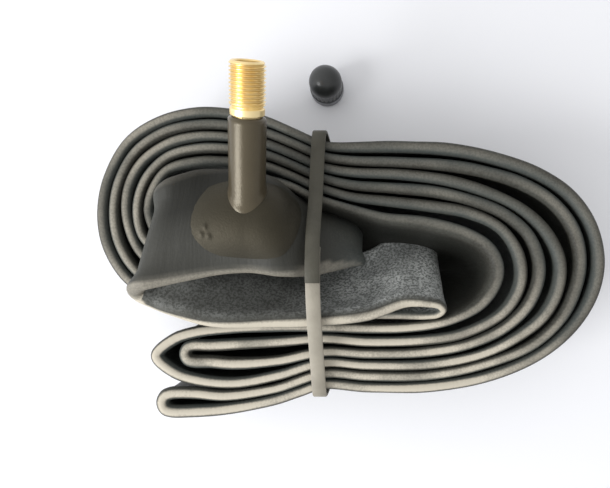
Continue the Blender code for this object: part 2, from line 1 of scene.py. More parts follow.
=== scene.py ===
import bmesh
import bpy
import numpy as np
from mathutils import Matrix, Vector


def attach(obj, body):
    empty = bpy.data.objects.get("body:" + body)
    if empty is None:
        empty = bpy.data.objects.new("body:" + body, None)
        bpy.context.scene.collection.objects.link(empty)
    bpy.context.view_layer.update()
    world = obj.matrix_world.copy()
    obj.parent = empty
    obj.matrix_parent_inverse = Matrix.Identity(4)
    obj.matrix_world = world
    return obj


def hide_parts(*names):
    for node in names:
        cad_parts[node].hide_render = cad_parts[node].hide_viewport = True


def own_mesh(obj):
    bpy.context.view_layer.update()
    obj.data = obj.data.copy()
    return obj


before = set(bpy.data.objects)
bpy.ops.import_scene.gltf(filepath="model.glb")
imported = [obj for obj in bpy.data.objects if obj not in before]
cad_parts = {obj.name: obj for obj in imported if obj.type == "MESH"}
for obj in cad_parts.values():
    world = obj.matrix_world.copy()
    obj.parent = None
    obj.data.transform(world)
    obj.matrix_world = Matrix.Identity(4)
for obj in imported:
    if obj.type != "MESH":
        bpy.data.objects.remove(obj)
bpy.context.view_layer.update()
mm = 0.001
planCentre = np.array([-4.35, 8.08, 0.0])  # the part's origin, seen from the point under the eye, mm


# A socket that takes part in sums: each operator adds one Math node.
class Wire:
    def __init__(self, owner, socket):
        self.owner = owner
        self.socket = socket

    def maths(self, operation, first, second):
        return self.owner.node("ShaderNodeMath", {"operation": operation}, {0: first, 1: second})

    def __add__(self, other):
        return self.maths("ADD", self, other)

    def __radd__(self, other):
        return self.maths("ADD", other, self)

    def __sub__(self, other):
        return self.maths("SUBTRACT", self, other)

    def __rsub__(self, other):
        return self.maths("SUBTRACT", other, self)

    def __mul__(self, other):
        return self.maths("MULTIPLY", self, other)

    def __rmul__(self, other):
        return self.maths("MULTIPLY", other, self)

    def most(self, other):
        return self.maths("MAXIMUM", self, other)

    def between(self, low, high):  # 0 below low, 1 above high, an even S from one to the other
        settings = {"interpolation_type": "SMOOTHSTEP"}
        return self.owner.node("ShaderNodeMapRange", settings, {0: self, 1: low, 2: high})


# The nodes of a material or world, and one way to add any of them.
class Nodes:
    def __init__(self, owner):
        owner.use_nodes = True
        self.tree = owner.node_tree

    def node(self, kind, settings=None, sockets=None, out=0):
        made = self.tree.nodes.new(kind)
        for key, value in (settings or {}).items():
            setattr(made, key, value)
        for key, value in (sockets or {}).items():
            self.feed(made.inputs[key], value)
        return Wire(self, made.outputs[out])

    def feed(self, socket, value):
        if isinstance(value, Wire):
            self.tree.links.new(value.socket, socket)
        elif isinstance(value, tuple) and socket.type == "RGBA":
            socket.default_value = (*value, 1)
        else:
            socket.default_value = value


# One material round its Principled shader.
class Finish(Nodes):
    def __init__(self, name):
        self.material = bpy.data.materials.new(name)
        super().__init__(self.material)
        self.shader = self.tree.nodes["Principled BSDF"]
        self.object = self.node("ShaderNodeTexCoord", out="Object")

    def set(self, sockets):
        for name, value in sockets.items():
            self.feed(self.shader.inputs[name], value)

    def read(self, layer):  # a number kept on the points of the mesh
        return self.node("ShaderNodeAttribute", {"attribute_name": layer}, out="Fac")

    def noise(self, scale, detail=2.0, roughness=0.5, place=None):
        sockets = {"Vector": place or self.object, "Scale": scale, "Detail": detail, "Roughness": roughness}
        return self.node("ShaderNodeTexNoise", None, sockets)

    def mix(self, factor, first, second):
        return self.node("ShaderNodeMix", {"data_type": "RGBA"}, {0: factor, 6: first, 7: second}, out=2)

    def point(self, x, y, z=0.0):
        return self.node("ShaderNodeCombineXYZ", None, {0: x, 1: y, 2: z})

    def bump(self, height, depth):  # depth in metres for a height of 1
        normal = self.node("ShaderNodeBump", None, {"Height": height, "Distance": depth, "Strength": 1.0})
        self.set({"Normal": normal})


# Faces of a grid of points counted row by row, open or closed either way.
def gridFaces(rows, cols, closeRows=False, closeCols=True):
    i = np.arange(rows if closeRows else rows - 1)[:, None]
    k = np.arange(cols if closeCols else cols - 1)[None, :]
    nextRow, nextCol = (i + 1) % rows, (k + 1) % cols
    corners = [i * cols + k, i * cols + nextCol, nextRow * cols + nextCol, nextRow * cols + k]
    return np.stack(np.broadcast_arrays(*corners), -1).reshape(-1, 4)


def makePiece(name, points, faces, finish, body, node, layers=None, sharp=None):
    mesh = bpy.data.meshes.new(name)
    mesh.from_pydata(points.reshape(-1, 3).tolist(), [], faces)
    work = bmesh.new()
    work.from_mesh(mesh)
    bmesh.ops.recalc_face_normals(work, faces=work.faces)
    work.to_mesh(mesh)
    work.free()
    for layer, values in (layers or {}).items():
        mesh.attributes.new(layer, "FLOAT", "POINT").data.foreach_set("value", np.ravel(values).astype("f"))
    mesh.shade_smooth()
    if sharp:
        mesh.set_sharp_from_angle(angle=np.radians(sharp))
    mesh.materials.append(finish.material)
    piece = bpy.data.objects.new(name, mesh)
    bpy.context.scene.collection.objects.link(piece)
    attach(piece, body)
    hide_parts(node)
    print(f"{name}: {sum(len(f) - 2 for f in faces)} triangles")
    return piece


def toPart(points):  # plan in mm to the part's frame in metres
    return (points - planCentre) * mm


def smoothstep(low, high, value):
    t = np.clip((value - low) / (high - low), 0.0, 1.0)
    return t * t * (3 - 2 * t)


# Slow uneven change along the tube: a few whole waves over its length, so that the ends meet.
def drift(along, length, waves, seed):
    phase = seed * np.arange(1, len(waves) + 1) * 2.399
    turns = 2 * np.pi * np.outer(along / length, waves)
    return (np.sin(turns + phase)).mean(1)


# The flattened tube: a strip wound on edge, mm and degrees.
tubeForm = {
    "width": 27.0, "onEdge": 13.0, "waist": 0.74, "waistFrom": 4.0, "neck": 4.4,
    "spread": (-12.2, -6.0, 0.0, 6.0, 12.2),
    "leastFold": 0.98, "mostFold": 1.65, "lapFold": 2.1, "endFold": 1.1, "clear": 0.14, "neighbour": 9.0,
    "samples": 40, "step": 1.3, "turnStep": 5.5, "twistStep": 4.0,
    "strapX": -12.2, "strapReach": 11.0, "strapRoom": 1.35, "sway": 0.22, "shrink": 0.012,
    "hollow": np.array([15.0, -4.0]), "slump": 10.5, "slumpFrom": (-24.0, 12.0), "slumpOver": 15.0}


def onEdge(*plan):  # upright on its fold edge
    return [(x, y, tubeForm["onEdge"], 0.0, 0.0, 0.0) for x, y in plan]


def bend(centre, radius, start, end, points=5):  # plan points of a round turn
    angles = np.radians(np.linspace(start, end, points))
    return list(zip(centre[0] + radius * np.cos(angles), centre[1] + radius * np.sin(angles)))


# Each stretch: x, y and, off its edge, the height of the middle, lean towards -Y, curl across the width
# and how far it is turned askew.
topRun = onEdge(
    (-19, 31.7), (-15, 29.9), (-11, 28.3), (8, 28), (20, 27.4), (32, 25), (42, 21.4), (50, 16), (55.2, 8.5),
    (57, 0), (55.6, -8), (51, -16), (43, -23), (30, -28.7), (15, -31.3), (0, -31.5), (-11, -30.8))
outerHairpin = onEdge(
    (-17, -32.7), (-23, -34.6), (-35, -36.8), (-43, -37.4), *bend((-48.6, -35.2), 2.2, 270, 90),
    (-43, -32.9), (-35, -33.5), (-23, -31.8), (-11, -28.1))
secondRun = onEdge(
    (0, -28.7), (15, -28.5), (28, -26), (40.3, -21.2), (47.8, -14.4), (51.4, -7), (52.6, 0), (51, 7.4),
    (46, 14), (38, 19), (29, 21.8), (20, 23.4), (8, 24.2), (-4, 24.6), (-11, 25.6), (-15, 27.2), (-19, 29))
leftInnerBend = onEdge(
    (-26, 31.7), (-34, 33.3), (-42, 33.5), (-50, 31.8), (-57.2, 27), (-61.4, 19.8), (-62.7, 13), (-62, 6),
    (-59.6, 0.4), *bend((-55.4, -1.9), 1.8, 218, 390), (-56.9, 2.9), (-58.9, 7.4), (-59.8, 13), (-58.8, 19),
    (-55.4, 24.7), (-49, 29), (-42, 30.6), (-34, 30.4), (-26, 29), (-19, 26.3))
thirdRun = onEdge(
    (-15, 24.5), (-11, 22.9), (-4, 21.7), (8, 21.2), (20, 19.6), (30, 16.6), (38, 12.6), (44, 7), (47.4, 0),
    (47, -7), (43.5, -13.8), (36.7, -19.2), (28, -23.3), (15, -25.8), (0, -26), (-11, -25.4))
wideHairpin = onEdge(
    (-22, -28.5), (-33, -30.4), (-42, -29.6), (-48, -27.6), (-52.2, -23.6), (-48, -19.6), (-42, -17.7),
    (-33, -16.8), (-20, -16.4), (-11, -16.6))
innerRun = onEdge(
    (0, -16.9), (10, -16.7), (20, -15.2), (28, -11.2), (32, -5.5), (32.4, -1), (30, 3.4), (24, 7),
    (14, 9.6), (4, 10.8), (-4, 12.9), (-11, 15), (-15, 16.5), (-19, 18.3), (-25, 19.7), (-31, 19.4),
    *bend((-36.4, 15.8), 3, 90, 270), (-32, 12.2), (-26, 9.2))
valveLap = [
    (-18, 5.2, 12.6, 6, 0, 0), (-12, 3.2, 12.3, 12, 0, 0), (-8, 2.9, 12.2, 14, 0, 0),
    (-4.4, 2.9, 12.6, 15, 6, 0), (-2.2, 5.2, 16, 20, 34, 0), (-3.8, 7.8, 20, 28, 68, 0),
    (-8.5, 8.8, 23.6, 37, 104, 0), (-12, 8.8, 26, 44, 118, 0), (-15.5, 8.9, 30.4, 56, 138, 0),
    (-18.5, 8.7, 34.2, 68, 142, 0), (-21.5, 8.7, 36.8, 80, 132, 0), (-28, 9, 37.2, 90, 120, 0),
    (-36, 8.6, 36.6, 92, 100, 3), (-43, 7.2, 36.4, 94, 55, 11), (-48.6, 5.6, 35.6, 93, 20, 16),
    (-51.3, 3.6, 32.2, 92, 6, 17)]
looseLap = [
    (-48.6, 1.5, 28.9, 88, 0, 14), (-43.5, -0.6, 28, 79, 0, 8), (-36, -4, 24.6, 60, 0, 0),
    (-24, -6, 21.4, 45, 0, 0), (-12, -7.7, 19.4, 33, 0, 0), (0, -6, 19.2, 35, 0, 0),
    (9, -2.2, 18.8, 40, 0, 0), (14.5, -2.3, 18.5, 40, 0, 0), (17.2, -3, 17.8, 39, 0, 0),
    (18.3, -4.4, 16.6, 38, 0, 0), (17.2, -5.8, 15.4, 37, 0, 0), (14.5, -6.6, 14.6, 35, 0, 0),
    (8, -7, 14.4, 32, 0, 0), (-2, -7.7, 13.8, 28, 0, 0), (-12, -8, 13.1, 26, 0, 0),
    (-24, -8.2, 13.1, 24, 0, 0), (-36, -7.3, 13, 20, 0, 0), (-44, -3.4, 13, 12, 0, 0),
    (-49.2, 2.6, 13, 2, 0, 0), (-53, 8, 13, 0, 0, 0)]
fifthRun = onEdge(
    (-54.2, 13), (-52.9, 17.8), (-49.5, 22.3), (-42, 24.4), (-34, 24.3), (-26, 23.4), (-19, 20.9),
    (-15, 19.1), (-11, 17.6), (-4, 15.6), (6, 14.4), (15, 13.4), (25, 11.6), (33, 7.6), (37.3, 1),
    (37.6, -6), (33.6, -12.8), (24, -18), (14, -19.8), (0, -20.2), (-11, -19.4))
narrowHairpin = onEdge(
    (-22, -20.2), (-33, -20.8), (-39, -21.1), *bend((-43.2, -23.1), 2, 90, 270), (-39, -25.2), (-33, -25.6),
    (-22, -24.8), (-11, -22.7))
fourthRun = onEdge(
    (0, -23.2), (14, -22.8), (25, -20.8), (34, -16.6), (40, -10.4), (42.4, -2), (40, 5.8), (34, 11.2),
    (26, 14.6), (17, 16.8), (6, 17.8), (-4, 18.6), (-11, 20.2), (-15, 21.8), (-19, 23.6))
leftOuterBend = onEdge(
    (-26, 26.3), (-34, 27.5), (-42, 27.6), (-49, 25.8), (-54, 21.4), (-56.4, 16.5), (-57, 11.5),
    (-55.8, 6.2), (-52.4, 1.8), (-50.9, -2.2), (-51.5, -6), (-54.6, -7.2), (-58.4, -5.4), (-62, -1.2),
    (-64.8, 5), (-65.6, 13), (-64, 20.8), (-59, 29.3), (-51, 34.4), (-42, 36.5), (-34, 36.2), (-26, 34.6))
beforeValve = topRun + outerHairpin + secondRun + leftInnerBend + thirdRun + wideHairpin + innerRun
afterLaps = fifthRun + narrowHairpin + fourthRun + leftOuterBend
route = np.array(beforeValve + valveLap + looseLap + afterLaps, float)
valveStart = len(beforeValve)
looseStart = valveStart + len(valveLap)
looseEnd = looseStart + len(looseLap)


# Closed spline through the route: each span is a cubic whose slopes come from the points on either
# side, with knots spaced by the root of their distance.
def smoothLoop(control, samples):
    before, end, after = (np.roll(control, k, 0) for k in (1, -1, -2))
    knot = np.linalg.norm(end[:, :3] - control[:, :3], axis=1, keepdims=True) ** 0.5
    d0, d1, d2 = np.roll(knot, 1, 0), knot, np.roll(knot, -1, 0)
    leave = d1 * ((control - before) / d0 - (end - before) / (d0 + d1) + (end - control) / d1)
    arrive = d1 * ((end - control) / d1 - (after - control) / (d1 + d2) + (after - end) / d2)
    t = np.linspace(0, 1, samples, endpoint=False)[None, :, None]
    a, b, c, d = (v[:, None, :] for v in (control, leave, end, arrive))
    fromStart, toEnd = 2 * t**3 - 3 * t**2 + 1, 3 * t**2 - 2 * t**3
    spans = fromStart * a + (t**3 - 2 * t**2 + t) * b + toEnd * c + (t**3 - t**2) * d
    return spans.reshape(-1, control.shape[1])


path = smoothLoop(route, tubeForm["samples"])
ahead = np.roll(path[:, :3], -1, 0)
tangent = ahead - np.roll(path[:, :3], 1, 0)
tangent /= np.linalg.norm(tangent, axis=1, keepdims=True)
pace = np.linalg.norm(ahead - path[:, :3], axis=1)
along = np.concatenate([[0.0], np.cumsum(pace)[:-1]])
tubeLength = pace.sum()
spanOf = np.arange(len(path)) / tubeForm["samples"]  # which stretch of the route a row is in


# Middle surface: across the width the strip turns from lean by curl, a round arc, and the point
# stands proud of it along the normal.
def stripSurface(rows, across, proud):
    lean, curl, askew = np.radians(path[rows, 3:6]).T[:, :, None]
    curl = np.where(np.abs(curl) < 0.001, 0.001, curl)
    angle, radius = lean + curl * across / tubeForm["width"], tubeForm["width"] / curl
    level, rise = (np.cos(lean) - np.cos(angle)) * radius, (np.sin(angle) - np.sin(lean)) * radius
    shift = np.stack([-np.sin(askew) * level, -np.cos(askew) * level, rise], -1)
    width = np.stack([-np.sin(askew) * np.sin(angle), -np.cos(askew) * np.sin(angle), np.cos(angle)], -1)
    normal = np.cross(np.broadcast_to(tangent[rows][:, None, :], width.shape), width)
    normal /= np.linalg.norm(normal, axis=-1, keepdims=True)
    return path[rows][:, None, :3] + shift + normal * proud[..., None]


# Rows spaced by length, turning and twist together.
def tubeRows():
    turn = np.degrees(np.arccos(np.clip((tangent * np.roll(tangent, -1, 0)).sum(1), -1, 1)))
    lean, curl = np.abs(np.roll(path[:, 3:5], -1, 0) - path[:, 3:5]).T
    twist = lean + 0.3 * curl
    cost = pace / tubeForm["step"] + turn / tubeForm["turnStep"] + twist / tubeForm["twistStep"]
    total = np.concatenate([[0.0], np.cumsum(cost)])
    count = round(total[-1])
    return np.searchsorted(total, np.arange(count) * total[-1] / count) % len(path)


# How far each fold edge can swell: half the distance from its middle to any other stretch.
def foldRoom(rows, side):
    few = rows[::3]
    rim = stripSurface(few, np.full((1, 1), side * max(tubeForm["spread"])), np.zeros((len(few), 1)))[:, 0]
    spread = np.array([tubeForm["spread"]])
    others = stripSurface(few, spread, np.zeros((len(few), spread.size))).reshape(-1, 3)
    apart = np.linalg.norm(rim[:, None, :] - others[None, :, :], axis=2)
    gap = np.abs(along[few][:, None] - np.repeat(along[few], spread.size)[None, :])
    near = np.minimum(gap, tubeLength - gap) < tubeForm["neighbour"]
    room = np.where(near, 99.0, apart).min(1) / 2 - tubeForm["clear"]
    room = np.min([np.roll(room, k) for k in range(-2, 3)], 0)
    onLap = (spanOf[few] > valveStart + 8) & (spanOf[few] < looseStart + 7)
    atEnd = (spanOf[few] > looseStart + 7) & (spanOf[few] < looseEnd)
    most = np.where(onLap, tubeForm["lapFold"], np.where(atEnd, tubeForm["endFold"], tubeForm["mostFold"]))
    room = np.clip(room, tubeForm["leastFold"], most)
    room = np.mean([np.roll(room, k) for k in range(-3, 4)], 0)
    return np.interp(np.arange(len(rows)), np.arange(0, len(rows), 3), room)


# One edge of the section: a round fold, drawn in through a neck to two walls lying together.
def foldSide(fold):
    turns, necks = np.radians([22.5, 45, 67.5, 90]), np.array([0.2, 0.42, 0.66, 1.0])
    middle = tubeForm["width"] / 2 - fold
    s = [middle + fold * np.cos(turns), middle - necks * tubeForm["neck"], 0 * fold + tubeForm["waistFrom"]]
    neck = fold + (tubeForm["waist"] - fold) * smoothstep(0, 1, necks)
    n = [fold * np.sin(turns), neck, 0 * fold + tubeForm["waist"]]
    return np.concatenate(s, 1), np.concatenate(n, 1)


# Points round the section: across the width and proud of its middle.
def tubeSection(upper, lower):
    topS, topN = foldSide(upper)
    lowS, lowN = foldSide(lower)
    tip, middle = np.full_like(upper, tubeForm["width"] / 2), np.zeros_like(upper)
    wall = middle + tubeForm["waist"]
    s = [tip, topS, middle, -lowS[:, ::-1], -tip, -lowS, middle, topS[:, ::-1]]
    n = [middle, topN, wall, lowN[:, ::-1], middle, -lowN, -wall, -topN[:, ::-1]]
    return np.concatenate(s, 1), np.concatenate(n, 1)


# Flat where the bundle stands, with a shallow way pressed in by the strap.
def flatUnderside(points):
    reach = np.abs(points[..., 0] - tubeForm["strapX"])
    rise = tubeForm["strapRoom"] * (1 - smoothstep(tubeForm["strapReach"] - 5, tubeForm["strapReach"], reach))
    points[..., 2] = np.maximum(points[..., 2], rise)
    return points


# The inmost turn slumps into the hollow: its foot moves inwards, and less and less up to its top edge.
def slumped(rings, rows):
    inmost = (spanOf[rows] > valveStart - len(innerRun)) & (spanOf[rows] < valveStart)
    start = np.where(path[rows, 1] > tubeForm["hollow"][1], *tubeForm["slumpFrom"])
    share = (inmost * smoothstep(start, start + tubeForm["slumpOver"], path[rows, 0]))[:, None]
    sunk = share * (1 - np.clip(rings[..., 2] / tubeForm["width"], 0, 1)) ** 1.2
    inwards = np.minimum(tubeForm["hollow"] - rings[..., :2], [0.0, np.inf])
    inwards /= np.linalg.norm(inwards, axis=-1, keepdims=True)
    rings[..., :2] += inwards * (tubeForm["slump"] * sunk)[..., None]
    return rings, sunk


# What the rubber's finish reads at each point: place on the strip, lap, talc with painted highlight, and
# painted shade.
def tubeLayers(rows, s, n, sunk):
    span, x, y = spanOf[rows][:, None], path[rows, 0][:, None], path[rows, 1][:, None]
    edge, every = np.abs(s), np.ones_like(s)
    pastValve = smoothstep(looseStart - 2, looseStart, span)
    valve = smoothstep(valveStart + 4, valveStart + 7, span) * (1 - pastValve)
    loose = pastValve * (1 - smoothstep(looseEnd - 9, looseEnd - 6, span))
    # paler on the lower and left side: partly talc, partly painted highlight where the key from the lower
    # left falls
    lowerSide = smoothstep(2, -22, y) * smoothstep(56, 22, x)
    leftSide = smoothstep(-30, -58, x)
    pale = 0.16 + 1.3 * np.maximum(lowerSide, 0.2 * leftSide)
    pale = np.maximum(pale * (1 - 0.5 * valve), 1.3 * loose)
    return {
        "along": along[rows][:, None] * every, "across": s, "side": n / tubeForm["mostFold"],
        "fold": smoothstep(0, 0.45, edge - 13.05 + 2.6 * valve),
        "pale": np.maximum(pale * every, 0.3 * valve * (s > 0)),
        # sunk also carries painted shade: the slumped inner wall is darker towards its foot in the hollow
        "valveLap": valve * every, "sunk": smoothstep(0, 0.3, sunk),
        # the bloom fades towards the left, where the valve lap lies over the loose lap: painted shade
        "looseLap": loose * (0.3 + 0.7 * smoothstep(-22, -4, x)) * smoothstep(13, 11, edge),
        # painted shade on the valve lap's rear slope left of the stem, which faces away from the key
        "rearShade": valve * smoothstep(-52, -44, x) * smoothstep(-24, -30, x) * smoothstep(3, -5, s)}


def makeTube(finish):
    rows = tubeRows()
    place = along[rows]
    swell = 1 + 0.1 * drift(place, tubeLength, (23, 41, 67, 97), 1.3)[:, None]
    s, n = tubeSection(foldRoom(rows, 1)[:, None] * np.minimum(swell, 1), foldRoom(rows, -1)[:, None])
    upright = ((spanOf[rows] <= valveStart) | (spanOf[rows] >= looseEnd))[:, None]
    sag = tubeForm["shrink"] * (drift(place, tubeLength, (19, 31, 53, 83), 2.1)[:, None] - 1)
    across = s * (1 + upright * sag * (s > 0))
    sway = tubeForm["sway"] * drift(place, tubeLength, (29, 47, 71), 0.7)[:, None]
    bow = sway * (1 - (2 * s / tubeForm["width"]) ** 2)
    rings, sunk = slumped(stripSurface(rows, across, n + upright * bow), rows)
    faces = gridFaces(*s.shape, closeRows=True).tolist()
    points = toPart(flatUnderside(rings))
    layers = tubeLayers(rows, s, n, sunk)
    return makePiece("tubeWinding", points, faces, finish, "bundle", "tube", layers)


# Butyl rubber: grey-black and matte, dusted with talc that stays on the folds, paler still on the folds of
# the lower and left side as painted highlight, with the fine cross lines of the mould along the strip and
# pale specks on the loose lap; painted shade darkens the hollow, the rear of the valve lap and the loose
# lap's left part under it.
def tubeRubber():
    f = Finish("tubeRubber")
    fold, pale, lap, loose = f.read("fold"), f.read("pale"), f.read("valveLap"), f.read("looseLap")
    strip = f.point(f.read("along"), f.read("across") * 0.12)
    lines = f.noise(1.15, 2.0, 0.6, strip)
    patches = f.noise(95.0, 3.0, 0.6)
    grain = f.noise(1500.0, 2.0, 0.6)
    mottle = f.noise(1900.0, 2.0, 0.65).between(0.36, 0.64)
    flank = (0.5 + 0.5 * f.read("side")).between(0.2, 0.8)
    rubber = f.mix(flank, (0.036, 0.034, 0.028), (0.050, 0.058, 0.056))
    rubber = f.mix(patches.between(0.3, 0.7) * 0.5, rubber, (0.072, 0.074, 0.064))
    rubber = f.mix(mottle * 0.28, rubber, (0.110, 0.114, 0.102))
    # painted shade in the hollow: the slumped inner wall darkened
    rubber = f.mix(f.read("sunk") * 0.8, rubber, (0.014, 0.015, 0.013))
    rubber = f.mix(lap * 0.85, rubber, (0.040, 0.039, 0.033))
    # painted shade: the rear slope of the valve lap darkened
    rubber = f.mix(f.read("rearShade") * 0.8, rubber, (0.012, 0.012, 0.010))
    bloom = f.mix(patches.between(0.35, 0.65), (0.34, 0.355, 0.345), (0.62, 0.64, 0.625))
    bloom = f.mix(f.noise(1700.0, 2.0, 0.6).between(0.42, 0.6) * 0.75, bloom, (0.075, 0.081, 0.078))
    # pale bloom on the loose lap, weaker on its left part as painted shade under the valve lap
    rubber = f.mix(loose * 0.9, rubber, bloom)
    lengthwise = f.point(f.read("along"), f.read("across"))
    streaks = f.noise(0.035, 3.0, 0.55, lengthwise).between(0.34, 0.66)
    # talc on the folds together with painted highlight on the rims of the lower and left side
    talcAndHighlight = fold * pale * (0.7 + 0.3 * lines + 0.3 * mottle) * (0.35 + 0.95 * streaks)
    colour = f.mix(talcAndHighlight, rubber, (0.57, 0.525, 0.435))
    f.set({"Base Color": colour, "Roughness": 0.44 + 0.2 * grain + 0.15 * talcAndHighlight, "Specular IOR Level": 0.22})
    f.bump(0.7 * lines + 0.3 * grain, 0.00012)
    return f


print("winding the tube")
makeTube(tubeRubber())


# Valve: the axis runs up the stem from its foot, mm.
valveForm = {"foot": (-27.8, 10.6, 34.4), "axis": (0.0925, 0.905, 0.42)}
axisUp = Vector(valveForm["axis"]).normalized()
axisSide = (Vector((1, 0, 0)) - axisUp * axisUp.x).normalized()
valveTurn = np.array([axisSide, axisUp.cross(axisSide), axisUp])


def alongValve(points):  # points about the stem's own axis to the part's frame
    return toPart(points @ valveTurn + np.array(valveForm["foot"]))


# Points of a turned form: radius and height per ring and angle.
def ringPoints(radius, height, angle):
    return np.stack(np.broadcast_arrays(radius * np.cos(angle), radius * np.sin(angle), height), -1)


# Outline sampled every step along its straight sides, so that a thread or rib can be laid on it.
def finely(outline, step):
    pieces = [np.linspace(a, b, max(2, int(np.hypot(*np.subtract(b, a)) / step) + 1))[:-1]
              for a, b in zip(outline[:-1], outline[1:])]
    return np.concatenate(pieces + [np.array(outline[-1:], float)])


# Pad on the valve lap and the cover round the stem, one moulding.
coverForm = {
    "centreX": -27.0, "halfLength": 13.0, "halfWidth": 10.4, "shift": -1.1, "thick": 1.15, "lift": 0.8,
    "length": 22.2, "radius": 4.1, "bore": 3.05, "boreFoot": 8.0, "fillet": 2.2, "flare": 0.07,
    "rings": 48, "spokes": 120,
    "pips": [(9.4, 1.0), (10.3, 2.4), (8.6, 3.0)], "pipHeight": 0.35, "pipSize": 0.5}


def padSurface(reach, turn):
    rows = np.nonzero((spanOf > valveStart + 8) & (spanOf < looseStart - 2))[0]
    centre = along[rows[np.argmin(np.abs(path[rows, 0] - coverForm["centreX"]))]]
    u = coverForm["halfLength"] * reach * np.cos(turn)
    v = coverForm["shift"] + coverForm["halfWidth"] * reach * np.sin(turn)
    size = coverForm["pipSize"]
    pips = sum(np.exp(-((u - a) ** 2 + (v - b) ** 2) / size**2) for a, b in coverForm["pips"])
    height = coverForm["thick"] * (1 - 0.9 * reach**2.6) + coverForm["pipHeight"] * pips
    row = np.searchsorted(along, centre + u).ravel()
    flat = stripSurface(row, v.reshape(-1, 1), (coverForm["lift"] + height).reshape(-1, 1))[:, 0]
    return flat.reshape(*u.shape, 3)


# Height up the stem at which the cover's outside meets the pad, for each angle round it.
def padContact(pad, angle):
    heights = np.linspace(-6, 10, 161)
    probe = ringPoints(coverForm["radius"], heights[:, None], angle) @ valveTurn + np.array(valveForm["foot"])
    flat = pad.reshape(-1, 3)
    gap = [np.linalg.norm(flat[None] - line[:, None, :], axis=2).min(1) for line in probe.swapaxes(0, 1)]
    contact = heights[np.argmin(gap, 1)]
    return np.mean([np.roll(contact, k) for k in range(-3, 4)], 0)


# The cover stands on the pad, flares into it and is bored for the stem.
def makeCover(finish):
    spokes = coverForm["spokes"]
    angle = np.arange(spokes)[None, :] * 2 * np.pi / spokes
    reach = np.linspace(0.02, 1, coverForm["rings"])[:, None]
    pad = padSurface(reach, angle)
    contact = padContact(pad, angle)
    t = np.concatenate([np.linspace(0, 0.25, 14), np.linspace(0.3, 0.97, 24), [0.985, 0.995, 1.0]])[:, None]
    height = contact + (coverForm["length"] - contact) * t - 0.5 * (1 - t) ** 8
    above = np.clip((height - contact) / coverForm["fillet"], 0, 1)
    rounding = 0.55 * smoothstep(0.975, 1.0, t)
    radius = coverForm["radius"] * (1 + coverForm["flare"] * (1 - above) ** 2.4) - rounding
    bore = ringPoints(coverForm["bore"], np.array([[coverForm["length"]], [coverForm["boreFoot"]]]), angle)
    sleeve = np.concatenate([ringPoints(radius, height, angle), bore])
    padCount, sleeveCount = len(pad) * spokes, len(sleeve) * spokes
    faces = gridFaces(len(pad), spokes).tolist() + [list(range(spokes))]
    faces += (gridFaces(len(sleeve), spokes) + padCount).tolist()
    faces.append((padCount + sleeveCount - spokes + np.arange(spokes)).tolist())
    points = np.concatenate([toPart(pad).reshape(-1, 3), alongValve(sleeve).reshape(-1, 3)])
    padEdge = np.broadcast_to(reach**3, (len(pad), spokes)).ravel()
    layers = {
        "padEdge": np.concatenate([padEdge, np.zeros(sleeveCount)]),
        "onStem": np.repeat([0.0, 1.0], [padCount, sleeveCount])}
    return makePiece("valveCover", points, faces, finish, "bundle", "valve_cover", layers, 60)


# Cover rubber: dark brown, matte on the pad and with a warm sheen on the stem, whose paler base is partly
# painted highlight.
def coverRubber():
    f = Finish("coverRubber")
    cloud = f.noise(140.0, 3.0, 0.6)
    grain = f.noise(2200.0, 2.0, 0.6)
    colour = f.mix(cloud.between(0.3, 0.7), (0.010, 0.009, 0.006), (0.017, 0.015, 0.010))
    colour = f.mix(f.read("padEdge") * 0.25, colour, (0.05, 0.05, 0.044))
    onStem = f.read("onStem")
    # the stem's paler brown is partly painted highlight
    colour = f.mix(onStem, colour, f.mix(cloud, (0.050, 0.040, 0.024), (0.072, 0.058, 0.036)))
    f.set({"Base Color": colour, "Roughness": 0.46 - 0.22 * onStem + 0.16 * grain,
           "Specular IOR Level": 0.48, "Specular Tint": (1.0, 0.89, 0.66),
           "Coat Weight": 0.25 * onStem, "Coat Roughness": 0.28})
    f.bump(grain, 0.00005)
    return f


print("moulding the valve cover")
makeCover(coverRubber())


# Brass stem: plain collar, groove, then a thread cut to the mouth, mm.
stemForm = {
    "depth": 0.46, "pitch": 0.794, "threadFoot": 24.7, "threadTop": 33.15, "threadOver": 3.3, "spokes": 96,
    "step": 0.066,
    "outline": [
        (1.5, 10), (1.5, 8.2), (3, 8.2), (3, 22.5), (3.55, 22.5), (3.7, 22.65), (3.7, 23.95), (3.55, 24.1),
        (3.3, 24.3), (3.3, 24.4), (3.85, 24.8), (3.85, 32.95), (3.35, 33.5), (2.95, 33.5), (2.75, 33.3),
        (2.75, 27.5), (2.2, 26), (2.2, 10)]}


# Thread: the cut goes from the crest to the root and back once per pitch, and its phase advances one
# pitch per turn.
def threadCut(height, angle, slope):
    phase = (height / stemForm["pitch"] - angle / (2 * np.pi)) % 1.0
    return np.clip(slope - 2 * (slope + 0.1) * np.abs(phase - 0.5), 0, 1)


def makeStem(finish):
    profile = finely(stemForm["outline"] + stemForm["outline"][:1], stemForm["step"])[:-1]
    angle = np.arange(stemForm["spokes"])[None, :] * 2 * np.pi / stemForm["spokes"]
    radius, height = profile[:, :1], profile[:, 1:]
    foot, top = stemForm["threadFoot"], stemForm["threadTop"]
    fade = smoothstep(foot, foot + 0.5, height) * (1 - smoothstep(top - 0.3, top + 0.1, height))
    cut = threadCut(height, angle, 1.35) * fade * (radius > stemForm["threadOver"])
    points = alongValve(ringPoints(radius - stemForm["depth"] * cut, height, angle))
    faces = gridFaces(len(profile), stemForm["spokes"], closeRows=True).tolist()
    layers = {"root": cut}
    return makePiece("threadedStem", points, faces, finish, "bundle", "brass_stem", layers, 50)


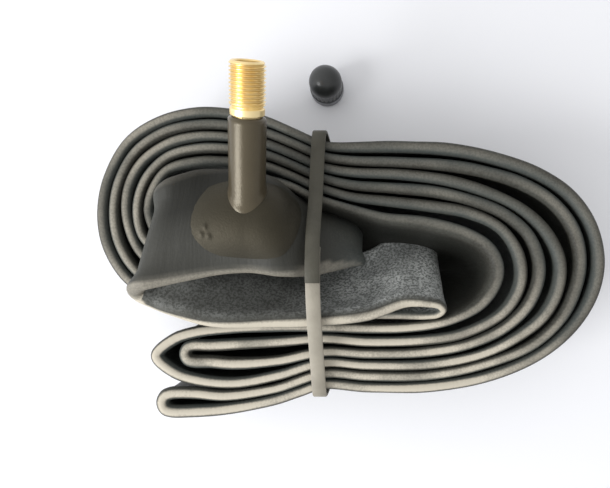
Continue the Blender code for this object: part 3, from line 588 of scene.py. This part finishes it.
# Brass: clouded, with fine scratches, and browner in the thread's roots.
def brass(name, tarnish=None):
    f = Finish(name)
    cloud = f.noise(260.0, 3.0, 0.6)
    scratch = f.noise(3000.0, 2.0, 0.6)
    colour = f.mix(cloud.between(0.35, 0.7), (0.98, 0.80, 0.44), (0.90, 0.68, 0.32))
    if tarnish:
        colour = f.mix(f.read(tarnish) * 0.4, colour, (0.46, 0.31, 0.13))
    f.set({"Base Color": colour, "Metallic": 1.0, "Roughness": 0.26 + 0.16 * scratch})
    f.bump(scratch, 0.00001)
    return f


print("cutting the stem's thread")
makeStem(brass("brassStem", "root"))


# Dust cap standing on its skirt beside the bundle: dome, grip ribs, skirt band and a screw bore, mm.
capForm = {
    "place": (-11.9, 49.8, 0.0), "body": 4.608, "shoulder": 7.48, "dome": 4.32, "bore": 3.95, "ribs": 24,
    "ribDepth": 0.16, "ribFoot": 3.6, "ribTop": 7.4, "grooveDepth": 0.3, "spokes": 192, "step": 0.2,
    "skirt": [(4.608, 3.5), (4.62, 3.4), (4.72, 3.3), (4.8, 3.1), (4.8, 0.4), (4.72, 0.12), (4.5, 0.0)],
    "inside": [(4.15, 0.0), (3.95, 0.5), (3.95, 8.4), (2.75, 9.6), (0.3, 9.6)]}


# The ribs are a cosine round the body, faded at both ends, and the bore takes the stem's thread.
def makeCap(finish):
    arc = np.radians(np.linspace(86, 0, 24))
    dome = zip(capForm["body"] * np.cos(arc), capForm["shoulder"] + capForm["dome"] * np.sin(arc))
    profile = finely([*dome, *capForm["skirt"], *capForm["inside"]], capForm["step"])
    count, spokes = len(profile), capForm["spokes"]
    angle = np.arange(spokes)[None, :] * 2 * np.pi / spokes
    radius, height = profile[:, :1], profile[:, 1:]
    inside = np.arange(count)[:, None] > profile[:, 1].argmin()
    foot, top = capForm["ribFoot"], capForm["ribTop"]
    ribbed = smoothstep(foot, foot + 0.4, height) * (1 - smoothstep(top - 1.6, top + 0.6, height))
    valley = ~inside * ribbed * (0.5 - 0.5 * np.cos(capForm["ribs"] * angle))
    screwed = smoothstep(0.6, 1.2, height) * (1 - smoothstep(6.4, 7, height))
    groove = inside * (np.abs(radius - capForm["bore"]) < 0.01) * screwed * threadCut(height, angle, 1.3)
    shaped = radius - capForm["ribDepth"] * valley + capForm["grooveDepth"] * groove
    points = toPart(ringPoints(shaped, height, angle) + np.array(capForm["place"]))
    faces = gridFaces(count, spokes).tolist()
    faces += [list(range(spokes)), ((count - 1) * spokes + np.arange(spokes)).tolist()]
    # skirt: where the paler band of painted highlight goes
    layers = {"skirt": np.broadcast_to(1 - smoothstep(2.6, 3.6, height), (count, spokes))}
    return makePiece("dustCap", points, faces, finish, "cap", "valve_cap", layers, 50)


# Cap plastic: black and slightly glossy, with a painted highlight band on the skirt.
def capPlastic():
    f = Finish("capPlastic")
    cloud = f.noise(300.0, 3.0, 0.6)
    grain = f.noise(2600.0, 2.0, 0.6)
    colour = f.mix(cloud, (0.018, 0.020, 0.020), (0.034, 0.036, 0.036))
    # painted highlight: the skirt band made paler
    colour = f.mix(f.read("skirt"), colour, (0.17, 0.173, 0.19))
    f.set({"Base Color": colour, "Roughness": 0.24 + 0.14 * grain})
    f.bump(grain, 0.00003)
    return f


print("turning the dust cap")
makeCap(capPlastic())


# Strap round the waist: y, z of its middle from the end on top, round the bundle to the end below, mm.
strapForm = {
    "x": -11.9, "bow": 0.9, "reach": 31.0, "width": 3.4, "thick": 0.9, "chamfer": (0.25, 0.2), "fine": 14,
    "loop": [
        (-5.3, 35.3), (-1, 35.3), (6, 33.6), (12, 30.3), (18, 28.3), (25, 27.8), (29.7, 27.4), (31.7, 24.8),
        (31.8, 14), (31.6, 3.2), (29.6, 0.45), (15, 0.45), (0, 0.45), (-15, 0.45), (-31, 0.45), (-33.2, 2.6),
        (-33.8, 14), (-33.4, 24.5), (-32, 27.4), (-27, 28.4), (-20, 30.4), (-13, 33.0), (-6.5, 34.25),
        (-1, 34.2), (3, 33.2)]}


# Each coordinate of the loop: the even cubic through the points, four of them at a time.
def throughPoints(values, fine):
    padded = np.concatenate([[2 * values[0] - values[1]], values, [2 * values[-1] - values[-2]]])
    place = np.linspace(0, len(values) - 1, fine * (len(values) - 1) + 1)
    start = np.minimum(place.astype(int), len(values) - 2)
    t = place - start
    a, b, c, d = (padded[start + k] for k in range(4))
    return 0.5 * (2 * b + (c - a) * t + (2 * a - 5 * b + 4 * c - d) * t**2 + (3 * b - a - 3 * c + d) * t**3)


def makeStrap(finish):
    loop = np.array(strapForm["loop"], float)
    line = np.stack([throughPoints(loop[:, k], strapForm["fine"]) for k in (0, 1)], -1)
    ahead = np.gradient(line, axis=0)
    ahead /= np.linalg.norm(ahead, axis=1, keepdims=True)
    out = np.stack([-ahead[:, 1], ahead[:, 0]], -1)
    wide, thick = strapForm["width"] / 2, strapForm["thick"] / 2
    inset, drop = strapForm["chamfer"]
    across = np.array([-wide, inset - wide, 0, wide - inset, wide])
    proud = np.array([thick - drop, thick, thick, thick, thick - drop])
    across, proud = np.concatenate([across, across[::-1]]), np.concatenate([-proud, proud])
    points = np.empty((len(line), len(across), 3))
    sideways = strapForm["x"] - strapForm["bow"] * (1 - (line[:, :1] / strapForm["reach"]) ** 2)
    points[..., 0] = sideways + across
    points[..., 1:] = line[:, None, :] + out[:, None, :] * proud[None, :, None]
    points[..., 2] = np.maximum(points[..., 2], 0.0)
    count, sides = points.shape[:2]
    ends = [list(range(sides)), ((count - 1) * sides + np.arange(sides)).tolist()]
    faces = gridFaces(count, sides).tolist() + ends
    layers = {"worn": np.repeat(smoothstep(0.62, 0.8, np.linspace(0, 1, count)), sides)}
    return makePiece("waistStrap", toPart(points), faces, finish, "bundle", "strap", layers, 40)


# Strap rubber: olive-grey, bloomed to a pale bar towards the end below.
def strapRubber():
    f = Finish("strapRubber")
    cloud = f.noise(200.0, 3.0, 0.6)
    grain = f.noise(1900.0, 2.0, 0.6)
    colour = f.mix(cloud.between(0.3, 0.7), (0.050, 0.047, 0.033), (0.067, 0.063, 0.046))
    bloom = f.read("worn") * (0.65 + 0.5 * cloud)
    colour = f.mix(bloom, colour, (0.36, 0.33, 0.27))
    f.set({"Base Color": colour, "Roughness": 0.5 + 0.15 * grain})
    f.bump(grain, 0.00005)
    return f


print("strapping the bundle")
makeStrap(strapRubber())


# Core pieces keep their own solids and take finer finishes.
def springSteel():
    f = Finish("springSteel")
    drawn = f.noise(4000.0, 2.0, 0.6)
    colour = f.mix(drawn, (0.50, 0.49, 0.47), (0.62, 0.61, 0.58))
    f.set({"Base Color": colour, "Metallic": 1.0, "Roughness": 0.22 + 0.2 * drawn})
    return f


def sealRubber():
    f = Finish("sealRubber")
    grain = f.noise(2400.0, 2.0, 0.6)
    colour = f.mix(grain, (0.018, 0.018, 0.018), (0.036, 0.035, 0.034))
    f.set({"Base Color": colour, "Roughness": 0.5 + 0.2 * grain})
    f.bump(grain, 0.00003)
    return f


coreFinish = {"brass": brass("coreBrass"), "steel": springSteel(), "seal": sealRubber()}
corePieces = {
    "core_plug": "brass", "core_barrel": "brass", "core_pin": "brass", "pin_cup": "brass",
    "spring_seat": "brass", "core_spring": "steel", "core_gasket": "seal", "pin_seal": "seal"}
for nodeName, kind in corePieces.items():
    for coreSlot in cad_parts[nodeName].material_slots:
        coreSlot.material = coreFinish[kind].material
# The spring, which the pin's cup presses towards its seat: its foot, length and press, mm, and a mesh of its
# own.
springForm = {"foot": 11.6, "length": 5.4, "press": 1.6}
springFoot = alongValve(np.array([0.0, 0.0, springForm["foot"]]))
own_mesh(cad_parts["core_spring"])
print("core finished")


# Stage: pale table, white round about for camera and mirror rays, a soft key from the left.
stageForm = {
    "table": 1.2, "tableColour": (0.95, 0.958, 0.995), "around": 0.76, "windowSide": 1.35, "farSide": 0.64,
    "keyPower": 2.45, "keySize": 0.3, "keyPlace": (-0.42, -0.24, 0.30), "eye": (4.35, -8.08, 160.0),
    "focal": 545.0, "nadir": (368.0, 260.0), "image": (610, 488), "film": 36.0}


def makeTable():
    size = stageForm["table"]
    mesh = bpy.data.meshes.new("table")
    corners = [(-size, -size, 0), (size, -size, 0), (size, size, 0), (-size, size, 0)]
    mesh.from_pydata(corners, [], [(0, 1, 2, 3)])
    f = Finish("tablePaint")
    f.set({"Base Color": stageForm["tableColour"], "Roughness": 0.8})
    mesh.materials.append(f.material)
    table = bpy.data.objects.new("table", mesh)
    bpy.context.scene.collection.objects.link(table)


# White to the eye; as light it is dimmer, and stronger from the window side than from the far side.
def makeWorld():
    world = bpy.data.worlds.new("studio")
    bpy.context.scene.world = world
    sky = Nodes(world)
    seen, mirrored, through = (sky.node("ShaderNodeLightPath", out=f"Is {ray} Ray")
                               for ray in ("Camera", "Glossy", "Transmission"))
    around, window, far = stageForm["around"], stageForm["windowSide"], stageForm["farSide"]
    level = around + (1 - around) * seen.most(mirrored).most(through)  # a mirror shows what the eye sees
    direction = sky.node("ShaderNodeTexCoord", out="Generated")
    rightwards = sky.node("ShaderNodeSeparateXYZ", None, {0: direction}, out="X")
    slope = (window + far) / 2 - (window - far) / 2 * rightwards
    back = sky.tree.nodes["Background"]
    sky.feed(back.inputs["Color"], (1.0, 1.0, 1.0))
    sky.feed(back.inputs["Strength"], level * (slope + (1 - slope) * seen))


def makeKey():
    lamp = bpy.data.lights.new("key", "AREA")
    lamp.energy = stageForm["keyPower"]
    lamp.size = stageForm["keySize"]
    key = bpy.data.objects.new("key", lamp)
    key.location = stageForm["keyPlace"]
    key.rotation_euler = (-Vector(stageForm["keyPlace"])).to_track_quat("-Z", "Y").to_euler()
    bpy.context.scene.collection.objects.link(key)


# The eye looks straight down, and the frame is shifted so that the point under it falls where the photo
# has it.
def makeCamera():
    wide, high = stageForm["image"]
    lens = bpy.data.cameras.new("eye")
    lens.sensor_width = stageForm["film"]
    lens.lens = stageForm["focal"] * stageForm["film"] / wide
    lens.shift_x = (wide / 2 - stageForm["nadir"][0]) / wide
    lens.shift_y = (stageForm["nadir"][1] - high / 2) / wide
    lens.clip_start = 0.005
    eye = bpy.data.objects.new("eye", lens)
    eye.location = Vector(stageForm["eye"]) * mm
    bpy.context.scene.collection.objects.link(eye)
    bpy.context.scene.camera = eye


makeTable()
makeWorld()
makeKey()
makeCamera()
bpy.context.scene.view_settings.view_transform = "Standard"
print("stage set")
